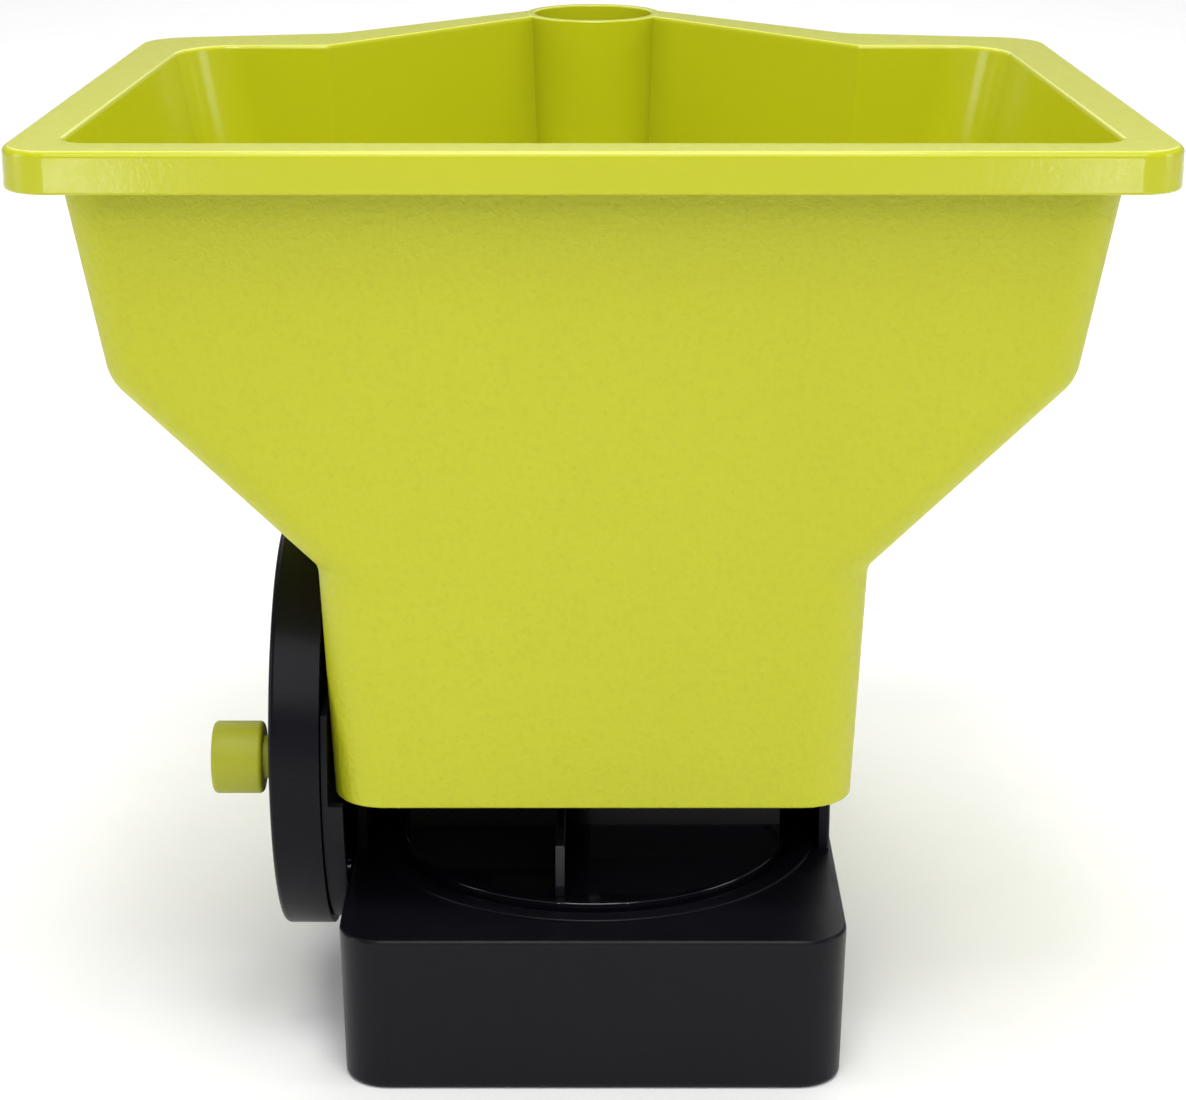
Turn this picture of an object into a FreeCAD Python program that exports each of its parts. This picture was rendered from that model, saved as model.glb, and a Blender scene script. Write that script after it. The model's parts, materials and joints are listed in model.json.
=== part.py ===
"""Hand-cranked broadcast spreader.

A hopper drops granules through a gated port onto a vaned disc. A crank wheel with a ring
of teeth inside drives the disc through a lay shaft and a pair of bevel gears.

Sizes are millimetres. X is across the hopper, Z is up. Inside this file Y runs back from
the hopper's front rim; the export moves every piece so that the origin is at the middle
of the footprint, on the ground.
"""
import FreeCAD
import Part
import math
import os

from FreeCAD import Vector

os.makedirs("parts", exist_ok=True)

# ---------------------------------------------------------------- driving dimensions
X_AXIS = Vector(1, 0, 0)
Y_AXIS = Vector(0, 1, 0)
Z_AXIS = Vector(0, 0, 1)

WALL = 2.5                    # hopper wall
RUN = 0.06                    # radial gap of a running fit
GAP = 0.3                     # gap between bodies that don't touch
SCREW_GAP = 0.2               # play of a screw in a through hole
PAST = 1.0                    # how far a cutting shape stands past the face it cuts
SINK = 0.5                    # how far an added body runs into the one it grows from

# hopper
RIM_Z = 200.0
RIM_HALF = 115.9              # half width of the lip at its front edge
RIM_TAPER = 0.048             # narrowing of each side per millimetre of depth
RIM_REAR_Y = 159.5
RIM_KINK = (62.0, 168.5)      # where the lip turns back towards the tube
RIM_APEX = (8.0, 220.0)
LIP_HEIGHT = 8.5
LIP_SKIN = 2.4
TUB_FRONT_Y = 8.0
FRONT_LEAN = 3.0 / 141.0      # the front wall leans back towards its foot
TUB_HALF = 107.6
TUB_TAPER = 0.055
TUB_REAR_Y = 148.5
TUB_KINK_X = 64.8
VEE_SLOPE = 1.1               # rearward run of the vee walls per millimetre across
APEX_X = 8.0
BREAK_Z = 151.0               # where the tub turns into the funnel
BREAK_HALF = 98.6
BREAK_REAR_Y = 147.0
BREAK_APEX_Z = 165.0          # the funnel's rear valley starts this high at the tube
NECK_TOP_Z = 110.5
NECK_TOP_HALF = 57.3
NECK_Z = 59.0
NECK_HALF = 55.0
NECK_REAR_Y = 103.0
BREAK_R = 8.0                 # bend between tub and funnel, outside
FUNNEL_LIFT = 1.0             # raises the inner funnel so that its wall stays WALL thick

# grip tube
TUBE_Y = 207.0
TUBE_R = 17.5
TUBE_BORE_R = 15.0
TUBE_BORE_Z = 104.0           # floor of the upper bore
TUBE_WEB = 3.0
TUBE_FOOT_Z = 12.0
FOOT_BOSS_R = 4.5             # boss and ribs for the screw in the tube's foot
FOOT_BOSS_TOP = 36.0
FOOT_RIB_TOP = 32.0
FOOT_RIB_HALF = 1.0

# base housing
BASE_TOP = 34.4
BASE_HALF_TOP = 53.8
BASE_HALF_FOOT = 53.0
BASE_FRONT_Y = -2.0
BASE_REAR_Y = 112.0
BASE_CORNER_R = 9.5
BASE_WALL = 2.4
DECK_UNDER = 31.2
SIDE_WALL_Y = 46.0            # the discharge slot is open in front of this
SIDE_WALL_HALF = 53.0
SIDE_WALL_REAR_Y = 110.0
ARM_HALF = 20.5
ARM_TOP = 28.0
SOCKET_R = 20.0
SOCKET_TOP = 40.0
CUP_GAP = 0.1                 # play of the tube in its socket
TOP_EDGE_R = 0.8
COLUMN_R = 8.0                # rear corners of the side walls
RING_R = 50.3                 # raised ring round the disc's recess
RING_WIDTH = 3.7
RING_RISE = 0.6
EDGE_R = 0.35                 # rounding of small edges
FOOT_R = 1.2                  # rounding of the foot, less than half the wall
POST_R = 4.4                  # posts under the throat tray
COVER_BOSS_R = 4.0

# drive
AXIS_Y = 57.5                 # wheel, lay shaft and spinner all meet this plane
WHEEL_Z = 62.0
WHEEL_R = 46.0
WHEEL_OUT_X = -68.3
WHEEL_IN_X = -57.6
WHEEL_WEB = 2.9
WHEEL_EDGE_R = 1.2
GROOVE_R = 24.0               # ring groove in the wheel's outer face
GROOVE_WIDTH = 1.6
GROOVE_DEEP = 0.7
WASHER_SEAT_R = 7.0
WASHER_SEAT_X = -66.1
WASHER_R = 6.4
WASHER_GAP = 0.1
WASHER_OUT_X = -67.1
WASHER_IN_X = -66.3
WHEEL_SCREW_HEAD_R = 3.6
SPIGOT_END_X = -79.2
KNOB_EDGE_R = 1.0
KNOB_RECESS_R = 4.6
KNOB_RECESS_X = -79.0
KNOB_SCREW_HEAD_R = 4.0
CLIP_R = 3.8                  # ring clip on the lay shaft
CLIP_OUT_X = -45.6
CLIP_IN_X = -44.8
HUB_R = 8.0
RIB_HALF = 0.9                # ribs inside the wheel
RIB_RISE = 0.7
RIB_REACH = 30.0
SPINDLE_R = 4.0
BOSS_R = 7.0
MODULE = 1.0
RING_TEETH = 84
PINION_TEETH = 10
BEVEL_TEETH = 10
ADDENDUM = 0.8
DEDENDUM = 0.95
PRESSURE_ANGLE = math.radians(22.0)
TOOTH = 1.34                  # tooth width on the pitch circle
MIN_TIP = 0.2                 # half of the narrowest tooth tip
LAY_R = 2.0
LAY_IN_X = -3.0
LAY_OUT_X = -64.8
BUSH_R = 3.6
BUSH_GAP = 0.05               # radial play of a shaft in its bush
BUSH_OUT_X = -54.6            # outer bush, from its flange to its inner end
BUSH_FLANGE_X = -53.8
BUSH_FLANGE_R = 4.7
BUSH_IN_X = -46.0
BUSH_BOSS_R = 5.5
PEDESTAL_X = (-14.6, -10.8)   # inner bearing of the lay shaft
PEDESTAL_HALF = 6.0
BOSS_OUT_X = -57.2            # the wheel's boss on the base, from its face inwards
BOSS_IN_X = -50.2
SPINDLE_END_X = -66.3
LAY_Z = WHEEL_Z - MODULE * (RING_TEETH - PINION_TEETH) / 2.0
SHAFT_R = 2.0
GUARD_OUT_X = -57.3           # plate that closes the wheel's open side
GUARD_THICK = 1.2
GUARD_R = 44.5
GUARD_TOP = 78.0
GUARD_RIM = 2.6
GUARD_RIM_TOP = 58.4
GUARD_HOLE_R = 6.0

# knob
KNOB_Y = 24.2
KNOB_Z = 65.5
KNOB_R = 7.75
KNOB_END_X = -81.0
KNOB_COLLAR_R = 4.65
KNOB_COLLAR = 1.7
SPIGOT_R = 3.0

# spinner
DISC_R = 44.0
DISC_Z = 33.8
DISC_TOP = 35.1
DISC_LIP_TOP = 36.0
DISC_LIP = 1.6
VANES = 4
VANE_OFFSET = 7.05
VANE_THICK = 1.9
VANE_TOP = 48.5
VANE_REACH = 42.0
DISC_HUB_R = 8.0
RECESS_GAP = 1.2              # gap round the disc in its recess
UPPER_BUSH_R = 3.2
UPPER_BUSH_TOP = 33.4
LOWER_BUSH_FOOT = 3.8
LOWER_BUSH_TOP = 12.0
SHAFT_FOOT = 4.0
SHAFT_TOP = 71.0
AGITATOR_HUB_R = 5.0
AGITATOR_FOOT = 61.8
AGITATOR_ARM_R = 1.3
AGITATOR_ARM_Z = 68.0
AGITATOR_REACH = 24.0
AGITATOR_TURN = 20.0          # degrees from the X axis at rest

# throat, gate and trigger
TRAY_HALF = 52.2
TRAY_FRONT_Y = 13.8
TRAY_REAR_Y = 100.2
TRAY_WALL = 2.0
TRAY_TOP = 70.0
FLOOR_TOP = 61.0
RAIL_FRONT_Y = 68.0
RAIL_LIP_Z = 63.4
RAIL_TOP = 65.2
RAIL_PLACES = ((-29.2, -27.4, -25.4, 96.0), (-2.2, -3.6, -5.6, 91.0))
BLOCK_HALF = 4.5              # blocks that take the neck's screws
BLOCK_DEEP = 10.0
PORT_X = (-24.0, -7.0)
PORT_Y = (72.0, 90.0)
GATE_Z = 61.2
GATE_THICK = 1.6
GATE_RIB_Y = 125.0            # start of the rib that stiffens the gate's tail
GATE_PIN_Y = 150.0
GATE_PIN_Z = 62.0
GATE_PIN_R = 1.5
GATE_EYE_R = 3.4
GATE_TAIL_HALF = 2.6
FORK_GAP = 0.6                # play of the gate pin in the trigger's fork
TRIGGER_Y = 176.0
TRIGGER_Z = 120.0
BARREL_R = 5.5                # lever's barrel round its pin
BLADE_BACK = 4.0
BLADE_PAST = 6.0
BLADE_FRONT = ((4.6, BLADE_PAST), (5.2, -8.0), (3.6, -22.0), (3.4, -36.0), (BARREL_R, -50.0))
FORK_HALF = 2.9
FORK_DEEP = 12.0
SLOT_ABOVE = 5.4
SLOT_BELOW = 0.5
COIL_LOW = 4.0                # spring, all heights above the trigger's pin
COIL_HIGH = 14.5
COIL_TURNS = 7
SPRING_LOW = 0.5
SPRING_HIGH = 18.5
TRIGGER_PIN_R = 2.0
TRIGGER_HALF = 6.0
EAR_THICK = 3.0
EAR_R = 6.0
EAR_GAP = 0.5
SPRING_Y = 163.5
SPRING_R = 2.8
SPRING_WIRE_R = 0.45

# fasteners
SCREW_R = 1.4
HEAD_R = 3.1
HEAD_H = 1.6
NECK_SCREW_XS = (-36.0, 36.0)
NECK_SCREW_Z = 66.0
COVER_FOOT = 2.4              # base cover, from its outer to its inner face
COVER_TOP = 4.8
COVER_HALF = 50.2

CENTRE_Y = (BASE_FRONT_Y + TUBE_Y + SOCKET_R) / 2.0


# ---------------------------------------------------------------- helpers
def box(x0, x1, y0, y1, z0, z1):
    """Box between two corners."""
    return Part.makeBox(x1 - x0, y1 - y0, z1 - z0, Vector(x0, y0, z0))


def rod(radius, start, end):
    """Cylinder from one point to another."""
    run = Vector(end) - Vector(start)
    return Part.makeCylinder(radius, run.Length, Vector(start), run)


def pipe(outer, inner, start, end):
    """Tube from one point to another."""
    return rod(outer, start, end).cut(rod(inner, start, end))


def rounded_wire(corners):
    """Closed wire through corners (x, y, z, radius), with a tangent arc at each round one."""
    count = len(corners)
    turns = []
    for i, (x, y, z, radius) in enumerate(corners):
        point = Vector(x, y, z)
        before = (Vector(*corners[i - 1][:3]) - point).normalize()
        after = (Vector(*corners[(i + 1) % count][:3]) - point).normalize()
        if radius == 0:
            turns.append((point, None, point))
            continue
        half = before.getAngle(after) / 2.0
        reach = radius / math.tan(half)
        middle = (before + after).normalize() * (radius / math.sin(half) - radius)
        turns.append((point + before * reach, point + middle, point + after * reach))
    edges = []
    for i, (start, middle, end) in enumerate(turns):
        if middle is not None:
            edges.append(Part.Arc(start, middle, end).toShape())
        edges.append(Part.LineSegment(end, turns[(i + 1) % count][0]).toShape())
    return Part.Wire(edges)


def inset(corners, distance, lift=0.0):
    """Anticlockwise outline moved inwards by distance and raised by lift."""
    count = len(corners)
    moved = []
    for i, (x, y, z, radius) in enumerate(corners):
        sides = []
        for a, b in ((corners[i - 1], corners[i]), (corners[i], corners[(i + 1) % count])):
            side = Vector(a[1] - b[1], b[0] - a[0], 0)
            sides.append(side.normalize())
        shift = (sides[0] + sides[1]) * (distance / (1.0 + sides[0].dot(sides[1])))
        inner_radius = max(radius - distance, 0.5) if radius > 0 else 0
        moved.append((x + shift.x, y + shift.y, z + lift, inner_radius))
    return moved


def at_height(corners, z):
    """The same outline, flat, at another height."""
    return [(x, y, z, radius) for x, y, _, radius in corners]


def prism(corners, z0, z1):
    """Upright prism over an outline."""
    face = Part.Face(rounded_wire(at_height(corners, z0)))
    return face.extrude(Vector(0, 0, z1 - z0))


def rectangle(half, y0, y1, z, radius, rear_radius=None):
    """Outline of a rounded rectangle centred on X = 0."""
    rear = radius if rear_radius is None else rear_radius
    return [(-half, y0, z, radius), (half, y0, z, radius), (half, y1, z, rear), (-half, y1, z, rear)]


def outline_yz(points, x0, x1):
    """Prism along X over a polygon of (y, z) points."""
    corners = [Vector(x0, y, z) for y, z in points]
    face = Part.Face(Part.makePolygon(corners + corners[:1]))
    return face.extrude(Vector(x1 - x0, 0, 0))


def edges_where(shape, test):
    """Edges whose middle point passes a test."""
    found = []
    for edge in shape.Edges:
        middle = edge.valueAt((edge.FirstParameter + edge.LastParameter) / 2.0)
        if test(middle, edge):
            found.append(edge)
    return found


def screw(tip, head, head_r=HEAD_R):
    """Pan-head screw whose shank runs from under its head to its tip."""
    run = (Vector(head) - Vector(tip)).normalize()
    top = Vector(head) + run * HEAD_H
    body = rod(SCREW_R, tip, head).fuse(rod(head_r, head, top))
    slot_r = head_r * 0.45
    return body.cut(Part.makeCylinder(slot_r, HEAD_H, top - run * HEAD_H * 0.6, run))


# ---------------------------------------------------------------- gears
def gear_outline(teeth, root_r, tip_r, tooth=TOOTH, phase=0.0, flank_steps=4):
    """Closed wire of an involute spur profile about the Z axis."""
    pitch_r = MODULE * teeth / 2.0
    base_r = pitch_r * math.cos(PRESSURE_ANGLE)

    def half_angle(radius):
        """Half the tooth's angle at a radius; straight below the base circle."""
        def involute(r):
            ratio = base_r / max(r, base_r)
            return math.tan(math.acos(ratio)) - math.acos(ratio)
        angle = tooth / (2.0 * pitch_r) + involute(pitch_r) - involute(radius)
        return max(angle, MIN_TIP / radius)

    radii = [root_r + (tip_r - root_r) * k / flank_steps for k in range(flank_steps + 1)]
    points = []
    for number in range(teeth):
        centre = phase + 2.0 * math.pi * number / teeth
        rising = [(r, centre - half_angle(r)) for r in radii]
        falling = [(r, centre + half_angle(r)) for r in reversed(radii)]
        for radius, angle in rising + falling:
            points.append(Vector(radius * math.cos(angle), radius * math.sin(angle), 0))
    return Part.makePolygon(points + points[:1])


def along_x(shape, x, y, z):
    """Turn a shape built on the Z axis so that it lies on the X axis at a point."""
    turned = shape.copy()
    turned.rotate(Vector(0, 0, 0), Y_AXIS, 90)
    turned.translate(Vector(x, y, z))
    return turned


def drive_pinion():
    """Pinion at the outer end of the lay shaft, in mesh with the ring below the wheel's axis."""
    length = 6.7
    pitch_r = MODULE * PINION_TEETH / 2.0
    wire = gear_outline(PINION_TEETH, pitch_r - 1.0, pitch_r + ADDENDUM)
    body = Part.Face(wire).extrude(Vector(0, 0, length))
    body = body.cut(rod(LAY_R, (0, 0, -1), (0, 0, length + 1)))
    return along_x(body, WHEEL_IN_X - length - 0.1, AXIS_Y, LAY_Z)


def bevel(bore_r):
    """Bevel gear on the Z axis with its cone's point at the origin and its back below it."""
    pitch_r = MODULE * BEVEL_TEETH / 2.0
    face = 3.0
    lean = math.sqrt(0.5)
    tip = pitch_r * (pitch_r + ADDENDUM * lean) / (pitch_r - ADDENDUM * lean)
    root = pitch_r * (pitch_r - lean) / (pitch_r + lean)
    large = gear_outline(BEVEL_TEETH, root, tip, tooth=1.4, flank_steps=1)
    large.translate(Vector(0, 0, -pitch_r))
    small = large.copy()
    small.scale((pitch_r - face * lean) / pitch_r, Vector(0, 0, 0))
    body = Part.makeLoft([large, small], True, True)
    keep = rod(pitch_r + ADDENDUM * lean, (0, 0, -2 * pitch_r), (0, 0, 0))
    hub = rod(4.0, (0, 0, -pitch_r - 5.0), (0, 0, -pitch_r))
    bore = rod(bore_r, (0, 0, -3 * pitch_r), (0, 0, 1))
    return body.common(keep).fuse(hub).cut(bore)


def lay_bevel_gear():
    """Bevel gear on the lay shaft, with a tooth pointing down."""
    body = bevel(LAY_R)
    body.rotate(Vector(0, 0, 0), Y_AXIS, 90)
    body.translate(Vector(0, AXIS_Y, LAY_Z))
    return body


def spinner_bevel_gear():
    """Bevel gear on the spinner shaft, half a tooth out of step with its mate."""
    body = bevel(SHAFT_R)
    body.rotate(Vector(0, 0, 0), Z_AXIS, 180.0 / BEVEL_TEETH)
    body.translate(Vector(0, AXIS_Y, LAY_Z))
    return body


# ---------------------------------------------------------------- hopper
def tub_section(z, half, taper, rear_y, kink_x, apex_z, radius, rear_radius):
    """Outline of the hopper's outside at one height."""
    front_y = TUB_FRONT_Y + (RIM_Z - z) * FRONT_LEAN
    rear_half = half - taper * (rear_y - front_y)
    apex_y = rear_y + (kink_x - APEX_X) * VEE_SLOPE
    return [
        (-half, front_y, z, radius), (half, front_y, z, radius),
        (rear_half, rear_y, z, rear_radius), (kink_x, rear_y, z, 0),
        (APEX_X, apex_y, apex_z, 0), (-APEX_X, apex_y, apex_z, 0),
        (-kink_x, rear_y, z, 0), (-rear_half, rear_y, z, rear_radius),
    ]


def neck_section(z, half):
    """Outline of the neck, with as many corners as the tub's outline."""
    front_y = TUB_FRONT_Y + (RIM_Z - z) * FRONT_LEAN
    kink_x = 30.0
    return [
        (-half, front_y, z, 11.0), (half, front_y, z, 11.0),
        (half, NECK_REAR_Y, z, 9.0), (kink_x, NECK_REAR_Y, z, 0),
        (APEX_X, NECK_REAR_Y, z, 0), (-APEX_X, NECK_REAR_Y, z, 0),
        (-kink_x, NECK_REAR_Y, z, 0), (-half, NECK_REAR_Y, z, 9.0),
    ]


def rim_outline():
    """Outer edge of the lip."""
    rear_half = RIM_HALF - RIM_TAPER * RIM_REAR_Y
    kink_x, kink_y = RIM_KINK
    apex_x, apex_y = RIM_APEX
    return [
        (-RIM_HALF, 0, RIM_Z, 9.5), (RIM_HALF, 0, RIM_Z, 9.5),
        (rear_half, RIM_REAR_Y, RIM_Z, 11.0), (kink_x, kink_y, RIM_Z, 14.0),
        (apex_x, apex_y, RIM_Z, 0), (-apex_x, apex_y, RIM_Z, 0),
        (-kink_x, kink_y, RIM_Z, 14.0), (-rear_half, RIM_REAR_Y, RIM_Z, 11.0),
    ]


def hopper_sections():
    """The four outlines of the hopper's outside, from the rim down."""
    return [
        tub_section(RIM_Z, TUB_HALF, TUB_TAPER, TUB_REAR_Y, TUB_KINK_X, RIM_Z, 9.0, 17.0),
        tub_section(BREAK_Z, BREAK_HALF, TUB_TAPER, BREAK_REAR_Y, TUB_KINK_X - 1.6,
                    BREAK_APEX_Z, 9.0, 17.0),
        neck_section(NECK_TOP_Z, NECK_TOP_HALF),
        neck_section(NECK_Z, NECK_HALF),
    ]


def stack(sections):
    """Solid with straight walls from each outline to the next."""
    return Part.makeLoft([rounded_wire(section) for section in sections], True, True)


def stack_hopper(sections):
    """Funnel and neck in one solid; the neck keeps only its four round corners."""
    neck = [[corner for corner in section if corner[3] > 0] for section in sections[-2:]]
    return stack(sections[:-1]).fuse(stack(neck))


def level_edges(shape, z):
    """Edges lying at one height, apart from those of the flat front wall."""
    def lies_level(point, edge):
        return point.y > TUB_FRONT_Y + 4.0 and all(abs(v.Z - z) < 0.5 for v in edge.Vertexes)
    return [edge for edge in edges_where(shape, lies_level) if abs(edge.CenterOfMass.z - z) < 0.5]


def hopper_outside():
    """Solid body of tub, funnel and neck, with the bend under the tub rounded."""
    body = stack_hopper(hopper_sections())
    return body.makeFillet(BREAK_R, level_edges(body, BREAK_Z)).Solids[0]


def hopper_inside():
    """Solid of the space that the hopper holds, standing past its mouth and foot."""
    top, break_, neck_top, foot = hopper_sections()
    inner_top = inset(top, WALL)
    inner_foot = inset(foot, WALL)
    body = stack_hopper([
        at_height(inner_top, RIM_Z + 1.0),
        inset(break_, WALL, FUNNEL_LIFT),
        inset(neck_top, WALL, FUNNEL_LIFT),
        at_height(inner_foot, NECK_Z - 1.0),
    ])
    return body.makeFillet(BREAK_R - WALL, level_edges(body, BREAK_Z + FUNNEL_LIFT)).Solids[0]


def rim_lip():
    """Flange round the mouth, with a turned-down edge and a channel under it."""
    edge = rim_outline()
    lip = prism(edge, RIM_Z - LIP_HEIGHT, RIM_Z)
    rounded = edges_where(lip, lambda p, e: p.z > RIM_Z - 0.1)
    lip = lip.makeFillet(1.3, rounded)
    foot = edges_where(lip, lambda p, e: p.z < RIM_Z - LIP_HEIGHT + 0.1)
    lip = lip.makeFillet(0.6, foot)
    channel = prism(inset(edge, LIP_SKIN), RIM_Z - LIP_HEIGHT - 1.0, RIM_Z - LIP_SKIN)
    return lip.cut(channel)


def trigger_ears():
    """Two ears in front of the grip."""
    ears = []
    for side in (-1, 1):
        inner = side * (TRIGGER_HALF + EAR_GAP)
        low, high = sorted((inner, inner + side * EAR_THICK))
        ear = box(low, high, TRIGGER_Y, TUBE_Y - TUBE_BORE_R, TRIGGER_Z - EAR_R, TRIGGER_Z + EAR_R)
        nose = rod(EAR_R, (low, TRIGGER_Y, TRIGGER_Z), (high, TRIGGER_Y, TRIGGER_Z))
        ears.append(ear.fuse(nose))
    return ears


def spring_hanger():
    """Peg under the funnel that the trigger's spring hooks into."""
    return box(-3.0, 3.0, SPRING_Y - 3.0, SPRING_Y + 3.0, TRIGGER_Z + 16.0, BREAK_Z)


def tube_foot():
    """Boss for the handle screw, and the ribs that hold it inside the tube's foot."""
    boss = pipe(FOOT_BOSS_R, SCREW_R, (0, TUBE_Y, TUBE_FOOT_Z), (0, TUBE_Y, FOOT_BOSS_TOP))
    reach = TUBE_BORE_R + 0.5
    ribs = [
        box(-reach, reach, TUBE_Y - FOOT_RIB_HALF, TUBE_Y + FOOT_RIB_HALF, TUBE_FOOT_Z, FOOT_RIB_TOP),
        box(-FOOT_RIB_HALF, FOOT_RIB_HALF, TUBE_Y - reach, TUBE_Y + reach, TUBE_FOOT_Z, FOOT_RIB_TOP),
    ]
    core = rod(FOOT_BOSS_R - 0.5, (0, TUBE_Y, 0), (0, TUBE_Y, FOOT_BOSS_TOP + PAST))
    return [boss] + [rib.cut(core) for rib in ribs]


def tube_bores():
    """The bore that takes a pole, and the hollow below its floor."""
    upper = rod(TUBE_BORE_R, (0, TUBE_Y, TUBE_BORE_Z), (0, TUBE_Y, RIM_Z + PAST))
    lower = rod(TUBE_BORE_R, (0, TUBE_Y, TUBE_FOOT_Z - PAST), (0, TUBE_Y, TUBE_BORE_Z - TUBE_WEB))
    return upper.fuse(lower)


def boss_notch():
    """Room for the wheel's boss in the neck's left wall, open below."""
    radius = BOSS_R + GAP
    notch = rod(radius, (-60, AXIS_Y, WHEEL_Z), (-45, AXIS_Y, WHEEL_Z))
    return notch.fuse(box(-60, -45, AXIS_Y - radius, AXIS_Y + radius, NECK_Z - PAST, WHEEL_Z))


def hopper_cuts():
    """Holes and slots for the pieces that the hopper holds."""
    spring_z = TRIGGER_Z + 15.0
    return [
        rod(TRIGGER_PIN_R, (-12, TRIGGER_Y, TRIGGER_Z), (12, TRIGGER_Y, TRIGGER_Z)),
        rod(SPRING_WIRE_R + 0.1, (0, SPRING_Y, spring_z), (0, SPRING_Y, spring_z + 7.0)),
        box(-29.0, 5.0, NECK_REAR_Y - WALL - PAST, NECK_REAR_Y + 2.0, NECK_Z - PAST, NECK_Z + 5.2),
        boss_notch(),
    ] + neck_screw_holes(SCREW_R + GAP)


def hopper():
    """Hopper, lip, neck and grip tube in one moulding."""
    inside = hopper_inside()
    body = hopper_outside().fuse(rim_lip()).cut(inside)
    tube = rod(TUBE_R, (0, TUBE_Y, TUBE_FOOT_Z), (0, TUBE_Y, RIM_Z))
    body = body.fuse([tube] + trigger_ears())
    body = body.fuse(spring_hanger().cut(inside))
    body = body.cut(tube_bores()).fuse(tube_foot())
    return body.cut(hopper_cuts())


def neck_screw_holes(radius):
    """Holes along Y through the neck's rear wall."""
    return [rod(radius, (x, NECK_REAR_Y + 5, NECK_SCREW_Z), (x, NECK_REAR_Y - 14, NECK_SCREW_Z))
            for x in NECK_SCREW_XS]


# ---------------------------------------------------------------- base
def base_shell():
    """Box with a deck, open below."""
    foot = rectangle(BASE_HALF_FOOT, BASE_FRONT_Y, BASE_REAR_Y, 0, BASE_CORNER_R)
    top = rectangle(BASE_HALF_TOP, BASE_FRONT_Y, BASE_REAR_Y, BASE_TOP, BASE_CORNER_R)
    outer = stack([foot, top])
    edge = edges_where(outer, lambda p, e: p.z > BASE_TOP - 0.1)
    outer = outer.makeFillet(TOP_EDGE_R, edge)
    low = edges_where(outer, lambda p, e: p.z < 0.1)
    outer = outer.makeFillet(FOOT_R, low)
    inner = stack([at_height(inset(foot, BASE_WALL), -1.0), at_height(inset(top, BASE_WALL), DECK_UNDER)])
    return outer, inner


def wheel_guard():
    """Plate and rim on the base's left side that close the crank wheel's open side."""
    centre = (AXIS_Y, WHEEL_Z)
    plate = rod(GUARD_R, (GUARD_OUT_X, *centre), (GUARD_OUT_X + GUARD_THICK, *centre))
    plate = plate.common(box(-60, -50, 0, 120, 0, GUARD_TOP))
    rim = pipe(GUARD_R, GUARD_R - GUARD_RIM, (GUARD_OUT_X, *centre), (-BASE_HALF_FOOT, *centre))
    rim = rim.common(box(-60, -50, 0, 120, 0, GUARD_RIM_TOP))
    hole = rod(GUARD_HOLE_R, (-60, AXIS_Y, LAY_Z), (-55, AXIS_Y, LAY_Z))
    return plate.fuse(rim).cut(hole)


def column():
    """Side and rear walls between the deck and the neck."""
    outer = rectangle(SIDE_WALL_HALF, SIDE_WALL_Y, SIDE_WALL_REAR_Y, 0, 0.6, COLUMN_R)
    inner = rectangle(SIDE_WALL_HALF - BASE_WALL, SIDE_WALL_Y - 5.0, SIDE_WALL_REAR_Y - BASE_WALL,
                      0, 0.6, COLUMN_R - 2.0)
    walls = prism(outer, BASE_TOP - PAST, NECK_Z)
    return walls.cut(prism(inner, BASE_TOP - 2.0, NECK_Z + PAST))


def arm():
    """Arm from the base to the socket of the grip, hollow from below."""
    body = prism(rectangle(ARM_HALF, BASE_REAR_Y - 4.0, TUBE_Y, 0, 0.6), 0, ARM_TOP)
    body = body.fuse(rod(SOCKET_R, (0, TUBE_Y, 0), (0, TUBE_Y, SOCKET_TOP)))
    hollow = rectangle(ARM_HALF - BASE_WALL, BASE_REAR_Y - 0.5, TUBE_Y - SOCKET_R - 3.0, 0, 0.6)
    return body.cut(prism(hollow, -PAST, ARM_TOP - BASE_WALL))


def socket_cuts():
    """Cup for the tube's foot, and the way in for its screw."""
    return [
        rod(TUBE_R + CUP_GAP, (0, TUBE_Y, TUBE_FOOT_Z), (0, TUBE_Y, SOCKET_TOP + PAST)),
        rod(HEAD_R + 1.0, (0, TUBE_Y, -PAST), (0, TUBE_Y, TUBE_FOOT_Z - 3.0)),
        rod(SCREW_R + SCREW_GAP, (0, TUBE_Y, -PAST), (0, TUBE_Y, TUBE_FOOT_Z + PAST)),
    ]


def disc_ring():
    """Raised ring round the disc's recess."""
    foot, top = (0, AXIS_Y, BASE_TOP - PAST), (0, AXIS_Y, BASE_TOP + RING_RISE)
    ring = pipe(RING_R, RING_R - RING_WIDTH, foot, top)
    ring = ring.makeFillet(EDGE_R, edges_where(ring, lambda p, e: p.z > BASE_TOP))
    return ring.common(prism(rectangle(50.5, 0, 108, 0, 2), 0, 60))


def housing_bosses():
    """Axle boss and spindle, screw bosses, posts and the bearings of the lay shaft."""
    bosses = [
        rod(BOSS_R, (BOSS_OUT_X, AXIS_Y, WHEEL_Z), (BOSS_IN_X, AXIS_Y, WHEEL_Z)),
        rod(SPINDLE_R, (SPINDLE_END_X, AXIS_Y, WHEEL_Z), (BOSS_OUT_X, AXIS_Y, WHEEL_Z)),
        rod(BUSH_BOSS_R, (-52.4, AXIS_Y, LAY_Z), (BUSH_IN_X, AXIS_Y, LAY_Z)),
        box(*PEDESTAL_X, AXIS_Y - PEDESTAL_HALF, AXIS_Y + PEDESTAL_HALF,
            LAY_Z - PEDESTAL_HALF, DECK_UNDER + PAST),
    ]
    bosses += [rod(COVER_BOSS_R, (x, y, COVER_TOP), (x, y, DECK_UNDER + PAST))
               for x, y in cover_screw_places()]
    bosses += [rod(POST_R, (x, y, BASE_TOP - PAST), (x, y, NECK_Z)) for x, y in throat_screw_places()]
    return bosses


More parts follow.
